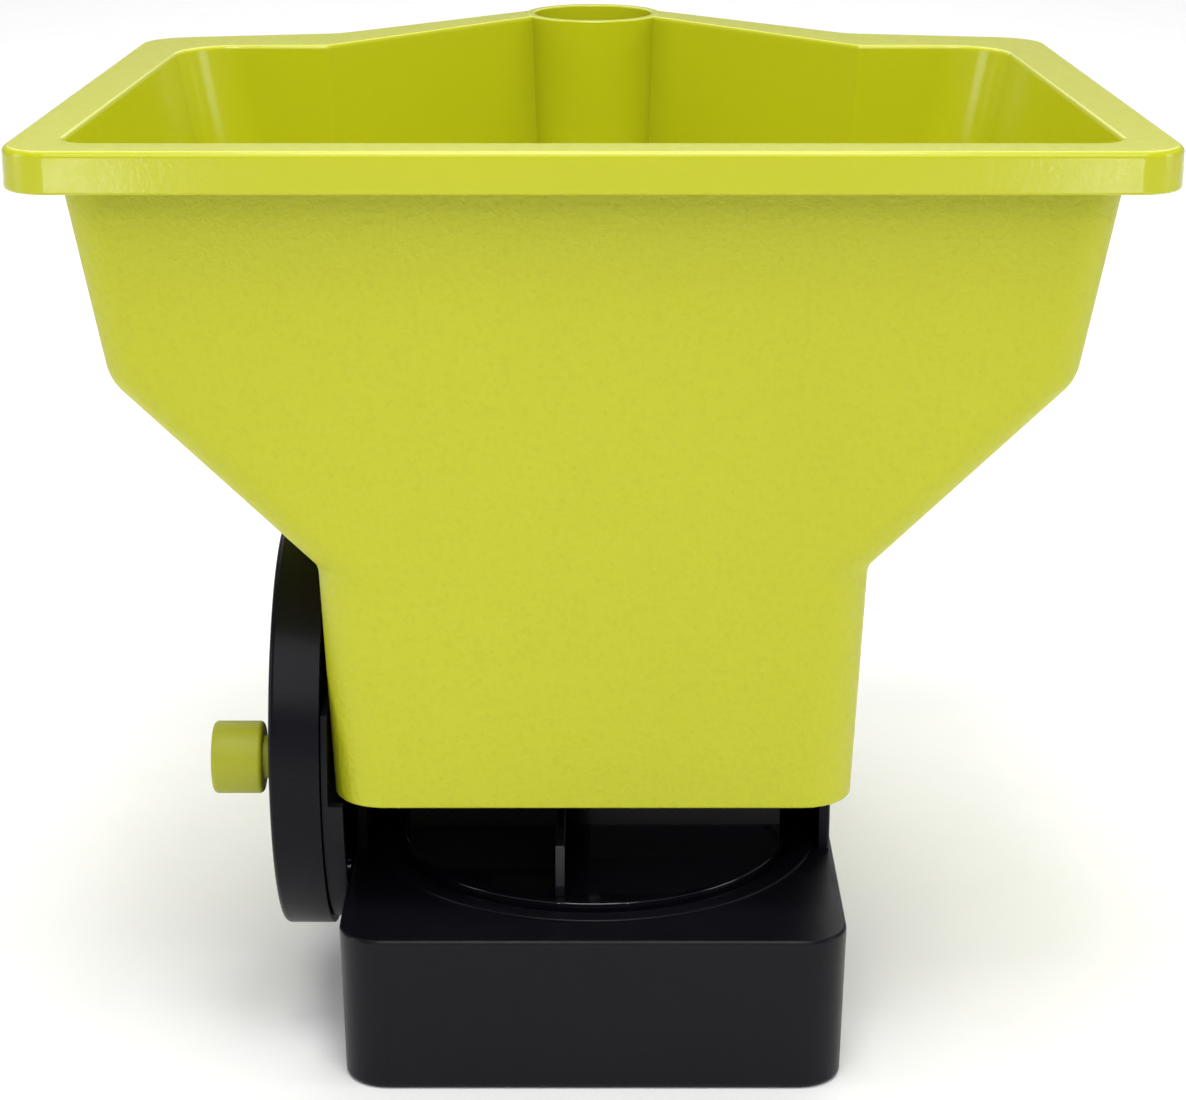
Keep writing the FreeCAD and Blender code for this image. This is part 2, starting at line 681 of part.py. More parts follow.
def housing_bores():
    """Screw holes, and the seats of the three bushes."""
    bores = [
        rod(SCREW_R, (-67, AXIS_Y, WHEEL_Z), (-52, AXIS_Y, WHEEL_Z)),
        rod(BUSH_R, (-60, AXIS_Y, LAY_Z), (-40, AXIS_Y, LAY_Z)),
        rod(BUSH_R, (-16, AXIS_Y, LAY_Z), (-10, AXIS_Y, LAY_Z)),
        rod(UPPER_BUSH_R, (0, AXIS_Y, DECK_UNDER - PAST), (0, AXIS_Y, BASE_TOP)),
    ]
    bores += [rod(SCREW_R, (x, y, 3), (x, y, 16)) for x, y in cover_screw_places()]
    bores += [rod(SCREW_R, (x, y, NECK_Z - 12), (x, y, NECK_Z + PAST)) for x, y in throat_screw_places()]
    return bores


def base_housing():
    """Lower housing: gear box, deck, side walls, axle boss and the arm that holds the grip."""
    outer, inner = base_shell()
    body = outer.fuse([column(), arm()]).cut([inner] + socket_cuts())
    recess = rod(DISC_R + RECESS_GAP, (0, AXIS_Y, DISC_Z - 0.6), (0, AXIS_Y, BASE_TOP + 5))
    body = body.fuse(disc_ring()).cut(recess)
    body = body.fuse(housing_bosses() + [wheel_guard()])
    return body.cut(housing_bores())


def cover_screw_places():
    """Four corners of the base."""
    return [(x, y) for x in (-43.5, 43.5) for y in (7.5, 102.5)]


def throat_screw_places():
    """Four posts beside the discharge space."""
    return [(x, y) for x in (-46.6, 46.6) for y in (76.0, 93.5)]


def base_cover():
    """Plate inside the foot of the base, with the lower bearing."""
    edge = BASE_WALL + GAP
    plan = rectangle(COVER_HALF, BASE_FRONT_Y + edge, BASE_REAR_Y - edge, 0, 6.8)
    boss = rod(BUSH_BOSS_R, (0, AXIS_Y, SHAFT_FOOT), (0, AXIS_Y, LOWER_BUSH_TOP))
    ribs = [box(-44, 44, y - 0.8, y + 0.8, 4.0, 8.0) for y in (AXIS_Y - 28.0, AXIS_Y + 28.0)]
    body = prism(plan, COVER_FOOT, COVER_TOP).fuse([boss] + ribs)
    holes = [rod(SCREW_R + SCREW_GAP, (x, y, 0), (x, y, 10)) for x, y in cover_screw_places()]
    pocket = rod(BUSH_R, (0, AXIS_Y, LOWER_BUSH_FOOT - 0.2), (0, AXIS_Y, 20))
    return body.cut(holes + [pocket])


# ---------------------------------------------------------------- throat, gate and trigger
def gate_rails():
    """Two rails that guide the gate: each a wall with a lip over the gate's edge."""
    rails = []
    for outer_x, inner_x, lip_x, rear_y in RAIL_PLACES:
        x0, x1 = sorted((outer_x, inner_x))
        rails.append(box(x0, x1, RAIL_FRONT_Y, rear_y, FLOOR_TOP - SINK, RAIL_TOP))
        x0, x1 = sorted((inner_x, lip_x))
        rails.append(box(x0, x1, RAIL_FRONT_Y, rear_y, RAIL_LIP_Z, RAIL_TOP))
    return rails


def throat_tray():
    """Tray in the neck's foot: floor, outlet port, gate rails and upstand."""
    plan = rectangle(TRAY_HALF, TRAY_FRONT_Y, TRAY_REAR_Y, 0, 8.0, 6.0)
    body = prism(plan, NECK_Z, TRAY_TOP)
    body = body.cut(prism(inset(plan, TRAY_WALL), FLOOR_TOP, TRAY_TOP + 1))
    blocks = [box(x - BLOCK_HALF, x + BLOCK_HALF, TRAY_REAR_Y - BLOCK_DEEP, TRAY_REAR_Y - PAST,
                  FLOOR_TOP - SINK, TRAY_TOP) for x in NECK_SCREW_XS]
    body = body.fuse(gate_rails() + blocks)
    cuts = [
        box(PORT_X[0], PORT_X[1], PORT_Y[0], PORT_Y[1], NECK_Z - 1, FLOOR_TOP + 0.1),
        rod(SHAFT_R + 0.5, (0, AXIS_Y, NECK_Z - 1), (0, AXIS_Y, FLOOR_TOP + 1)),
        box(-28.0, 4.2, TRAY_REAR_Y - TRAY_WALL - 0.5, TRAY_REAR_Y + 1, FLOOR_TOP, 63.6),
        rod(BOSS_R + GAP, (-60, AXIS_Y, WHEEL_Z), (-50.1, AXIS_Y, WHEEL_Z)),
        box(-60, -50.1, AXIS_Y - BOSS_R - GAP, AXIS_Y + BOSS_R + GAP, FLOOR_TOP - 3, WHEEL_Z),
    ]
    cuts += [rod(SCREW_R + SCREW_GAP, (x, y, NECK_Z - PAST), (x, y, FLOOR_TOP + PAST))
             for x, y in throat_screw_places()]
    cuts += neck_screw_holes(SCREW_R)
    return body.cut(cuts)


def gate_plate():
    """Shutter over the outlet port, with a tail that runs back to the trigger."""
    z = GATE_Z
    half = GATE_TAIL_HALF
    points = [(-27.2, 69.0), (-3.8, 69.0), (-3.8, 93.0), (half, 99.0), (half, GATE_PIN_Y),
              (-half, GATE_PIN_Y), (-half, 105.0), (-8.0, 99.0), (-27.2, 96.0)]
    corners = [Vector(x, y, z) for x, y in points]
    plate = Part.Face(Part.makePolygon(corners + corners[:1])).extrude(Vector(0, 0, GATE_THICK))
    eye = rod(GATE_EYE_R, (-half, GATE_PIN_Y, GATE_PIN_Z), (half, GATE_PIN_Y, GATE_PIN_Z))
    rib = box(-0.9, 0.9, GATE_RIB_Y, GATE_PIN_Y, z, z + 3.0)
    body = plate.fuse([eye, rib])
    return body.cut(rod(GATE_PIN_R, (-4, GATE_PIN_Y, GATE_PIN_Z), (4, GATE_PIN_Y, GATE_PIN_Z)))


def gate_pin():
    """Cross pin in the gate's eye."""
    reach = TRIGGER_HALF + 0.6
    return rod(GATE_PIN_R, (-reach, GATE_PIN_Y, GATE_PIN_Z), (reach, GATE_PIN_Y, GATE_PIN_Z))


def trigger_direction():
    """Unit vector from the trigger's pivot to the gate pin at rest, and their distance."""
    run = Vector(0, GATE_PIN_Y - TRIGGER_Y, GATE_PIN_Z - TRIGGER_Z)
    return run.normalize(), math.hypot(GATE_PIN_Y - TRIGGER_Y, GATE_PIN_Z - TRIGGER_Z)


def trigger_lever():
    """Finger lever: pivot barrel, curved blade, forked foot and the nose for the spring."""
    down, reach = trigger_direction()
    pivot = Vector(0, TRIGGER_Y, TRIGGER_Z)
    across = Vector(0, down.z, -down.y)

    def place(forward, below):
        """Point of the blade: forward of its centre line, and below the pivot along it."""
        spot = pivot + down * below + across * forward
        return (spot.y, spot.z)

    blade_back = [place(-BLADE_BACK, d) for d in (0.0, reach + BLADE_PAST)]
    blade_front = [place(forward, reach + past) for forward, past in BLADE_FRONT]
    blade_front.append(place(BARREL_R, 0.0))
    body = outline_yz(blade_back + blade_front, -TRIGGER_HALF, TRIGGER_HALF)
    barrel = rod(BARREL_R, (-TRIGGER_HALF, TRIGGER_Y, TRIGGER_Z), (TRIGGER_HALF, TRIGGER_Y, TRIGGER_Z))
    nose = box(-3.5, 3.5, SPRING_Y - 3.0, TRIGGER_Y, TRIGGER_Z - 1.5, TRIGGER_Z + 2.5)
    body = body.fuse([barrel, nose])
    fork = box(-FORK_HALF, FORK_HALF, 120.0, 190.0, 40.0, GATE_PIN_Z + FORK_DEEP)
    slot_top = pivot + down * (reach - SLOT_ABOVE)
    slot_foot = pivot + down * (reach + SLOT_BELOW)
    width = GATE_PIN_R + FORK_GAP
    slot_ends = [rod(width, (-9, p.y, p.z), (9, p.y, p.z)) for p in (slot_top, slot_foot)]
    sides = [slot_top + across * width, slot_top - across * width,
             slot_foot - across * width, slot_foot + across * width]
    slot = outline_yz([(p.y, p.z) for p in sides], -9, 9).fuse(slot_ends)
    pin = rod(TRIGGER_PIN_R + RUN, (-9, TRIGGER_Y, TRIGGER_Z), (9, TRIGGER_Y, TRIGGER_Z))
    hook = rod(SPRING_WIRE_R + 0.1, (0, SPRING_Y, TRIGGER_Z - 3), (0, SPRING_Y, TRIGGER_Z + 4))
    return body.cut([fork, slot, pin, hook])


def trigger_pin():
    """Pin through the two ears."""
    reach = TRIGGER_HALF + 4.2
    return rod(TRIGGER_PIN_R, (-reach, TRIGGER_Y, TRIGGER_Z), (reach, TRIGGER_Y, TRIGGER_Z))


def trigger_spring():
    """Pull spring between the hanger under the funnel and the trigger's nose."""
    low = TRIGGER_Z + COIL_LOW
    high = TRIGGER_Z + COIL_HIGH
    pitch = (high - low) / COIL_TURNS
    helix = Part.makeHelix(pitch, high - low, SPRING_R)
    start = Vector(SPRING_R, 0, 0)
    section = Part.Wire([Part.makeCircle(SPRING_WIRE_R, start, Y_AXIS)])
    coil = Part.Wire(helix.Edges).makePipeShell([section], True, True)
    coil.translate(Vector(0, SPRING_Y, low))
    ends = []
    for inner, outer in ((low, TRIGGER_Z + SPRING_LOW), (high, TRIGGER_Z + SPRING_HIGH)):
        ends.append(rod(SPRING_WIRE_R, (0, SPRING_Y, inner), (0, SPRING_Y, outer)))
        ends.append(rod(SPRING_WIRE_R, (0, SPRING_Y, inner), (SPRING_R, SPRING_Y, inner)))
    return coil.fuse(ends)


# ---------------------------------------------------------------- crank
def crank_wheel():
    """Cup wheel with a ring of teeth inside, a hub, and the knob's spigot."""
    axis = (AXIS_Y, WHEEL_Z)
    ring_pitch = MODULE * RING_TEETH / 2.0
    outer = rod(WHEEL_R, (WHEEL_OUT_X, *axis), (WHEEL_IN_X, *axis))
    edge = edges_where(outer, lambda p, e: abs(p.x - WHEEL_OUT_X) < 0.1 and e.Length > 100)
    outer = outer.makeFillet(WHEEL_EDGE_R, edge)
    web_in = WHEEL_OUT_X + WHEEL_WEB
    spaces = gear_outline(RING_TEETH, ring_pitch - ADDENDUM, ring_pitch + DEDENDUM,
                          tooth=math.pi * MODULE - TOOTH, flank_steps=1)
    depth = WHEEL_IN_X - web_in + 1.0
    cavity = along_x(Part.Face(spaces).extrude(Vector(0, 0, depth)), web_in, *axis)
    body = outer.cut(cavity)
    hub = rod(HUB_R, (WHEEL_OUT_X, *axis), (WHEEL_IN_X, *axis))
    ribs = []
    for number in range(6):
        rib = box(web_in - SINK, web_in + RIB_RISE, AXIS_Y - RIB_HALF, AXIS_Y + RIB_HALF,
                  WHEEL_Z + HUB_R - PAST, WHEEL_Z + RIB_REACH)
        rib.rotate(Vector(0, *axis), X_AXIS, 60.0 * number + 30.0)
        ribs.append(rib)
    spigot = rod(SPIGOT_R, (SPIGOT_END_X, KNOB_Y, KNOB_Z), (WHEEL_OUT_X + SINK, KNOB_Y, KNOB_Z))
    body = body.fuse([hub, spigot] + ribs)
    cuts = [
        rod(SPINDLE_R + RUN, (-70, *axis), (-50, *axis)),
        rod(WASHER_SEAT_R, (-70, *axis), (WASHER_SEAT_X, *axis)),
        rod(SCREW_R, (SPIGOT_END_X - PAST, KNOB_Y, KNOB_Z), (-67.0, KNOB_Y, KNOB_Z)),
        pipe(GROOVE_R, GROOVE_R - GROOVE_WIDTH,
             (WHEEL_OUT_X - PAST, *axis), (WHEEL_OUT_X + GROOVE_DEEP, *axis)),
    ]
    return body.cut(cuts)


def wheel_washer():
    """Washer that keeps the wheel on its spindle."""
    return pipe(WASHER_R, SCREW_R + WASHER_GAP,
                (WASHER_OUT_X, AXIS_Y, WHEEL_Z), (WASHER_IN_X, AXIS_Y, WHEEL_Z))


def wheel_screw():
    """Screw in the end of the spindle."""
    return screw((-53.0, AXIS_Y, WHEEL_Z), (WASHER_OUT_X, AXIS_Y, WHEEL_Z), WHEEL_SCREW_HEAD_R)


def knob():
    """Turning knob with a narrow collar against the wheel."""
    axis = (KNOB_Y, KNOB_Z)
    collar_in = WHEEL_OUT_X - 0.25
    barrel_in = collar_in - KNOB_COLLAR
    barrel = rod(KNOB_R, (KNOB_END_X, *axis), (barrel_in, *axis))
    rims = edges_where(barrel, lambda p, e: e.Length > 20)
    barrel = barrel.makeFillet(KNOB_EDGE_R, rims)
    collar = rod(KNOB_COLLAR_R, (barrel_in - 1.0, *axis), (collar_in, *axis))
    bore = rod(SPIGOT_R + RUN, (-90, *axis), (-60, *axis))
    recess = rod(KNOB_RECESS_R, (-90, *axis), (KNOB_RECESS_X, *axis))
    return barrel.fuse(collar).cut([bore, recess])


def knob_screw():
    """Screw that keeps the knob on its spigot."""
    return screw((-69.0, KNOB_Y, KNOB_Z), (SPIGOT_END_X, KNOB_Y, KNOB_Z), KNOB_SCREW_HEAD_R)


# ---------------------------------------------------------------- lay shaft
def bush(outer, inner, start, end, flange_r=0.0, flange_end=None):
    """Plain bearing bush, with a flange if it has one."""
    body = rod(outer, start, end)
    if flange_end is not None:
        body = body.fuse(rod(flange_r, start, flange_end))
    return body.cut(rod(inner, Vector(start) - (Vector(end) - Vector(start)),
                        Vector(end) + (Vector(end) - Vector(start))))


def lay_shaft():
    """Steel shaft from inside the wheel to the middle of the base."""
    return rod(LAY_R, (LAY_OUT_X, AXIS_Y, LAY_Z), (LAY_IN_X, AXIS_Y, LAY_Z))


def lay_outer_bush():
    """Flanged bush in the base's left wall."""
    start, end, flange = ((x, AXIS_Y, LAY_Z) for x in (BUSH_OUT_X, BUSH_IN_X, BUSH_FLANGE_X))
    return bush(BUSH_R, LAY_R + BUSH_GAP, start, end, BUSH_FLANGE_R, flange)


def lay_inner_bush():
    """Bush in the pedestal beside the bevel gears."""
    start, end = ((x, AXIS_Y, LAY_Z) for x in PEDESTAL_X)
    return bush(BUSH_R, LAY_R + BUSH_GAP, start, end)


def lay_shaft_clip():
    """Ring clip that stops the lay shaft from pulling out."""
    return pipe(CLIP_R, LAY_R, (CLIP_OUT_X, AXIS_Y, LAY_Z), (CLIP_IN_X, AXIS_Y, LAY_Z))


# ---------------------------------------------------------------- spinner
def spinner_shaft():
    """Upright steel shaft."""
    return rod(SHAFT_R, (0, AXIS_Y, SHAFT_FOOT), (0, AXIS_Y, SHAFT_TOP))


def spinner_disc():
    """Dished disc with upright vanes set to one side of the centre line."""
    centre = (0, AXIS_Y)
    plate = rod(DISC_R, (*centre, DISC_Z), (*centre, DISC_TOP))
    lip = pipe(DISC_R, DISC_R - DISC_LIP, (*centre, DISC_Z), (*centre, DISC_LIP_TOP))
    lip = lip.makeFillet(EDGE_R, edges_where(lip, lambda p, e: p.z > DISC_LIP_TOP - 0.1))
    hub = rod(DISC_HUB_R, (*centre, DISC_Z), (*centre, VANE_TOP))
    vanes = []
    for number in range(VANES):
        vane = box(-VANE_OFFSET - VANE_THICK / 2, -VANE_OFFSET + VANE_THICK / 2,
                   AXIS_Y - VANE_REACH, AXIS_Y, DISC_TOP - 0.5, VANE_TOP)
        vane = vane.makeFillet(EDGE_R, edges_where(vane, lambda p, e: p.z > VANE_TOP - 0.1))
        vane.rotate(Vector(*centre, 0), Z_AXIS, 360.0 / VANES * number)
        vanes.append(vane)
    body = plate.fuse([lip, hub] + vanes)
    return body.cut(rod(SHAFT_R, (*centre, 0), (*centre, 90)))


def spinner_upper_bush():
    """Flanged bush in the deck."""
    return bush(UPPER_BUSH_R, SHAFT_R + BUSH_GAP, (0, AXIS_Y, UPPER_BUSH_TOP), (0, AXIS_Y, DECK_UNDER))


def spinner_lower_bush():
    """Bush in the base cover."""
    return bush(BUSH_R, SHAFT_R + BUSH_GAP, (0, AXIS_Y, LOWER_BUSH_FOOT), (0, AXIS_Y, LOWER_BUSH_TOP))


def agitator():
    """Hub with two arms that keep the granules moving above the port."""
    hub = rod(AGITATOR_HUB_R, (0, AXIS_Y, AGITATOR_FOOT), (0, AXIS_Y, SHAFT_TOP))
    arms = []
    for turn in (AGITATOR_TURN, AGITATOR_TURN + 180.0):
        angle = math.radians(turn)
        end = (AGITATOR_REACH * math.cos(angle), AXIS_Y + AGITATOR_REACH * math.sin(angle), AGITATOR_ARM_Z)
        arms.append(rod(AGITATOR_ARM_R, (0, AXIS_Y, AGITATOR_ARM_Z), end))
    return hub.fuse(arms).cut(rod(SHAFT_R, (0, AXIS_Y, NECK_Z), (0, AXIS_Y, RIM_Z)))


# ---------------------------------------------------------------- screws
def cover_screws():
    """Four screws up through the base cover."""
    return Part.makeCompound([screw((x, y, 14.0), (x, y, 2.4)) for x, y in cover_screw_places()])


def throat_screws():
    """Four screws down through the throat tray."""
    return Part.makeCompound([screw((x, y, 50.0), (x, y, FLOOR_TOP)) for x, y in throat_screw_places()])


def neck_screws():
    """Two screws through the back of the neck."""
    return Part.makeCompound([screw((x, 91.5, NECK_SCREW_Z), (x, NECK_REAR_Y + 0.2, NECK_SCREW_Z))
                              for x in NECK_SCREW_XS])


def handle_screw():
    """Screw up into the grip's foot."""
    return screw((0, TUBE_Y, TUBE_FOOT_Z + 16.0), (0, TUBE_Y, TUBE_FOOT_Z - 3.0))


NODES = {
    "hopper": hopper,
    "base_housing": base_housing,
    "base_cover": base_cover,
    "throat_tray": throat_tray,
    "gate_plate": gate_plate,
    "gate_pin": gate_pin,
    "trigger_lever": trigger_lever,
    "trigger_pin": trigger_pin,
    "trigger_spring": trigger_spring,
    "crank_wheel": crank_wheel,
    "wheel_washer": wheel_washer,
    "wheel_screw": wheel_screw,
    "knob": knob,
    "knob_screw": knob_screw,
    "drive_pinion": drive_pinion,
    "lay_shaft": lay_shaft,
    "lay_outer_bush": lay_outer_bush,
    "lay_inner_bush": lay_inner_bush,
    "lay_shaft_clip": lay_shaft_clip,
    "lay_bevel_gear": lay_bevel_gear,
    "spinner_shaft": spinner_shaft,
    "spinner_bevel_gear": spinner_bevel_gear,
    "spinner_disc": spinner_disc,
    "spinner_upper_bush": spinner_upper_bush,
    "spinner_lower_bush": spinner_lower_bush,
    "agitator": agitator,
    "cover_screws": cover_screws,
    "throat_screws": throat_screws,
    "neck_screws": neck_screws,
    "handle_screw": handle_screw,
}

for name, make in NODES.items():
    shape = make()
    shape.translate(Vector(0, -CENTRE_Y, 0))
    shape.exportStep("parts/" + name + ".step")
    bounds = shape.BoundBox
    print(name, "solids", len(shape.Solids), "valid", shape.isValid(), "volume", round(shape.Volume),
          "x", round(bounds.XMin, 1), round(bounds.XMax, 1),
          "y", round(bounds.YMin, 1), round(bounds.YMax, 1),
          "z", round(bounds.ZMin, 1), round(bounds.ZMax, 1))
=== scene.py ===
import json
import math

import bmesh
import bpy
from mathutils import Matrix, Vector

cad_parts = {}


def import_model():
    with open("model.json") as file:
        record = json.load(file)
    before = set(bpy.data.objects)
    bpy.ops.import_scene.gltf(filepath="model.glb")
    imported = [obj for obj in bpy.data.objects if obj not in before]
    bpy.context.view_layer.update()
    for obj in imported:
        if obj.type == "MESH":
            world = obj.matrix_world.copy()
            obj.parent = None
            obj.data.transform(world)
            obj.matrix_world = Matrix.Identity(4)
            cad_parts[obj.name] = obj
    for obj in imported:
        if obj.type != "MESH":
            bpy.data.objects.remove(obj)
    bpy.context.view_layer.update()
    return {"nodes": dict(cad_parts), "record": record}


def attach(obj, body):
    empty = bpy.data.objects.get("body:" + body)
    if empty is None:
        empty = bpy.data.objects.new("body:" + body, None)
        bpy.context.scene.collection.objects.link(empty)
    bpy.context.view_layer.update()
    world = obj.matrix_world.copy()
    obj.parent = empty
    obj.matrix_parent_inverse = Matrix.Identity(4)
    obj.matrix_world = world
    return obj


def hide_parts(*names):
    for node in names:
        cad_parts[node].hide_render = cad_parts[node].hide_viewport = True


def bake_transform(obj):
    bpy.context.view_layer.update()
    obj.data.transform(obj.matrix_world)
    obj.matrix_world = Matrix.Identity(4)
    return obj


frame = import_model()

NODES = frame["nodes"]

LIME = (0.520, 0.537, 0.011)
LIME_DEEP = (0.385, 0.407, 0.0045)
BLACK = (0.0040, 0.0039, 0.0066)
BLACK_WORN = (0.014, 0.014, 0.016)


# ---------------------------------------------------------------- material nodes
class Tree:
    """Small wrapper that adds and links nodes of one material."""

    def __init__(self, name):
        self.material = bpy.data.materials.new(name)
        self.material.use_nodes = True
        self.nodes = self.material.node_tree.nodes
        self.links = self.material.node_tree.links
        self.shader = self.nodes["Principled BSDF"]
        self.where = self.nodes.new("ShaderNodeTexCoord").outputs["Object"]

    def link(self, source, target):
        self.links.new(source, target)

    def stretched(self, scale):
        """Object coordinates with each axis scaled by its own amount."""
        node = self.nodes.new("ShaderNodeMapping")
        node.inputs["Scale"].default_value = scale
        self.link(self.where, node.inputs["Vector"])
        return node.outputs["Vector"]

    def noise(self, scale, detail=3.0, rough=0.5, vector=None):
        node = self.nodes.new("ShaderNodeTexNoise")
        node.inputs["Scale"].default_value = scale
        node.inputs["Detail"].default_value = detail
        node.inputs["Roughness"].default_value = rough
        self.link(vector or self.where, node.inputs["Vector"])
        return node.outputs["Fac"]

    def spread(self, value, low, high, to_low=0.0, to_high=1.0):
        """Value moved from one range to another and held at its ends."""
        node = self.nodes.new("ShaderNodeMapRange")
        self.link(value, node.inputs["Value"])
        for name, number in zip(("From Min", "From Max", "To Min", "To Max"), (low, high, to_low, to_high)):
            node.inputs[name].default_value = number
        return node.outputs["Result"]

    def maths(self, operation, a, b):
        node = self.nodes.new("ShaderNodeMath")
        node.operation = operation
        for socket, value in zip(node.inputs, (a, b)):
            if isinstance(value, (int, float)):
                socket.default_value = value
            else:
                self.link(value, socket)
        return node.outputs["Value"]

    def mix(self, amount, a, b):
        """Colour between a and b."""
        node = self.nodes.new("ShaderNodeMix")
        node.data_type = "RGBA"
        self.link(amount, node.inputs[0])
        for socket, colour in ((node.inputs[6], a), (node.inputs[7], b)):
            if isinstance(colour, tuple):
                socket.default_value = (*colour, 1.0)
            else:
                self.link(colour, socket)
        return node.outputs[2]

    def axis(self, name):
        """One of the X, Y and Z places of the shaded point."""
        node = self.nodes.new("ShaderNodeSeparateXYZ")
        self.link(self.where, node.inputs["Vector"])
        return node.outputs[name]

    def bump(self, height, distance, strength=1.0, normal=None):
        node = self.nodes.new("ShaderNodeBump")
        node.inputs["Distance"].default_value = distance
        node.inputs["Strength"].default_value = strength
        self.link(height, node.inputs["Height"])
        if normal is not None:
            self.link(normal, node.inputs["Normal"])
        return node.outputs["Normal"]

    def finish(self, colour, roughness, normal, **sockets):
        """Connect the surface and set what is the same all over it."""
        self.link(colour, self.shader.inputs["Base Color"])
        self.link(roughness, self.shader.inputs["Roughness"])
        self.link(normal, self.shader.inputs["Normal"])
        for name, value in sockets.items():
            self.shader.inputs[name.replace("_", " ")].default_value = value
        return self.material


def lime_material(name, grain=1.0, base=LIME, deep=LIME_DEEP, rough=(0.42, 0.56)):
    """Moulded lime plastic with a fine spark-eroded grain and a faint flow pattern."""
    tree = Tree(name)
    flow = tree.noise(9.0, 4.0, 0.6, tree.stretched((1.0, 1.0, 0.35)))
    fine = tree.noise(720.0, 3.0, 0.6)
    cloud = tree.spread(flow, 0.35, 0.7)
    tint = tree.mix(cloud, base, tuple(c * 0.955 for c in base))
    speck = tree.spread(fine, 0.5, 0.75, 0.0, 0.28 * grain)
    colour = tree.mix(speck, tint, deep)
    low, high = rough
    roughness = tree.spread(tree.noise(420.0, 2.0, 0.5), 0.3, 0.7, low, high)
    normal = tree.bump(fine, 0.0005 * grain, 0.6)
    normal = tree.bump(flow, 0.0006, 0.25, normal)
    return tree.finish(colour, roughness, normal, IOR=1.48)


def black_material(name, rough=(0.27, 0.42), grain=0.4, base=BLACK, scuffs=0.35, scuff_top=None,
                   matt_above=None, shine=0.19):
    """Moulded black plastic: faint orange peel, cloudy gloss and fine handling scratches."""
    tree = Tree(name)
    peel = tree.noise(240.0, 2.0, 0.5)
    cloud = tree.noise(28.0, 4.0, 0.62)
    lines = tree.noise(60.0, 5.0, 0.7, tree.stretched((0.35, 0.35, 14.0)))
    scratch = tree.spread(lines, 0.64, 0.74, 0.0, scuffs)
    if scuff_top is not None:
        scratch = tree.maths("MULTIPLY", scratch, tree.spread(tree.axis("Z"), scuff_top, 0.0, 0.25, 1.0))
    colour = tree.mix(tree.spread(cloud, 0.4, 0.75, 0.0, 0.5), base, tuple(c * 1.5 for c in base))
    colour = tree.mix(scratch, colour, BLACK_WORN)
    low, high = rough
    gloss = tree.spread(cloud, 0.3, 0.7, low, high)
    roughness = tree.maths("ADD", gloss, tree.maths("MULTIPLY", scratch, 0.2))
    if matt_above is not None:
        height = tree.spread(tree.axis("Z"), matt_above, matt_above + 0.001, 0.0, 0.4)
        roughness = tree.maths("ADD", roughness, height)
    normal = tree.bump(peel, 0.0003 * grain, 0.3)
    normal = tree.bump(tree.noise(1100.0, 2.0, 0.5), 0.00008 * grain, 0.5, normal)
    return tree.finish(colour, roughness, normal, IOR=1.47, Specular_IOR_Level=shine)


def acetal_material(name, base):
    """Waxy machined or moulded acetal."""
    tree = Tree(name)
    cloud = tree.noise(90.0, 3.0, 0.55)
    colour = tree.mix(tree.spread(cloud, 0.35, 0.7), base, tuple(c * 0.88 for c in base))
    roughness = tree.spread(tree.noise(400.0, 2.0, 0.5), 0.3, 0.7, 0.34, 0.5)
    normal = tree.bump(tree.noise(700.0, 2.0, 0.5), 0.00008, 0.4)
    return tree.finish(colour, roughness, normal, IOR=1.48)


def steel_material(name, base, rough, stretch, dull=0.12):
    """Metal with drawn or ground lines, and a few darker stains."""
    tree = Tree(name)
    lines = tree.noise(900.0, 4.0, 0.6, tree.stretched(stretch))
    stain = tree.noise(130.0, 3.0, 0.6)
    colour = tree.mix(tree.spread(lines, 0.3, 0.7, 0.0, 0.5), base, tuple(c * 0.8 for c in base))
    colour = tree.mix(tree.spread(stain, 0.55, 0.8, 0.0, 0.4), colour, tuple(c * 0.6 for c in base))
    roughness = tree.spread(tree.maths("ADD", lines, tree.maths("MULTIPLY", stain, 0.6)), 0.4, 1.2,
                            rough, rough + dull)
    normal = tree.bump(lines, 0.00006, 0.5)
    return tree.finish(colour, roughness, normal, Metallic=1.0)


GRAINED = lime_material("lime_plastic_grained")
MATERIALS = {
    "lime_plastic": lime_material("lime_plastic_smooth", grain=0.12, rough=(0.13, 0.19)),
    "lime_gate": lime_material("lime_gate_smooth", grain=0.3, rough=(0.34, 0.46)),
    "lime_trigger": lime_material("lime_trigger_grained", grain=0.8),
    # The knob's lime is a darker copy of the hopper's lime plastic: painted shade on the knob, with a satin
    # roughness.
    "lime_knob": lime_material("lime_knob_satin_painted_shade", grain=0.35, base=(0.36, 0.375, 0.007), rough=(0.42, 0.54)),
    "black_plastic": black_material("black_plastic_satin", rough=(0.30, 0.44), scuff_top=0.034),
    "black_wheel": black_material("black_wheel_satin", rough=(0.26, 0.36), scuffs=0.25, shine=0.14),
    "black_disc": black_material("black_disc_gloss", rough=(0.03, 0.08), grain=0.1, scuffs=0.15,
                                 matt_above=0.0385, shine=0.6),
    "natural_acetal": acetal_material("acetal_natural", (0.72, 0.71, 0.64)),
    "bush_acetal": acetal_material("acetal_dark", (0.16, 0.16, 0.17)),
    "bright_steel": steel_material("steel_ground", (0.62, 0.62, 0.63), 0.2, (1.0, 1.0, 0.1)),
    "spring_steel": steel_material("steel_drawn_wire", (0.40, 0.40, 0.42), 0.26, (0.4, 0.4, 0.4)),
    "zinc_screws": steel_material("steel_zinc_plated", (0.66, 0.67, 0.70), 0.3, (0.3, 0.3, 0.3), 0.2),
}


def dress(thing, slot):
    """Give a piece one material."""
    thing.data.materials.clear()
    thing.data.materials.append(MATERIALS[slot])


for part in frame["record"]["subparts"]:
    node = NODES[part["node"]]
    dress(node, part["material_slot"])
    node.data.polygons.foreach_set("use_smooth", [True] * len(node.data.polygons))
    node.data.set_sharp_from_angle(angle=math.radians(28.0))


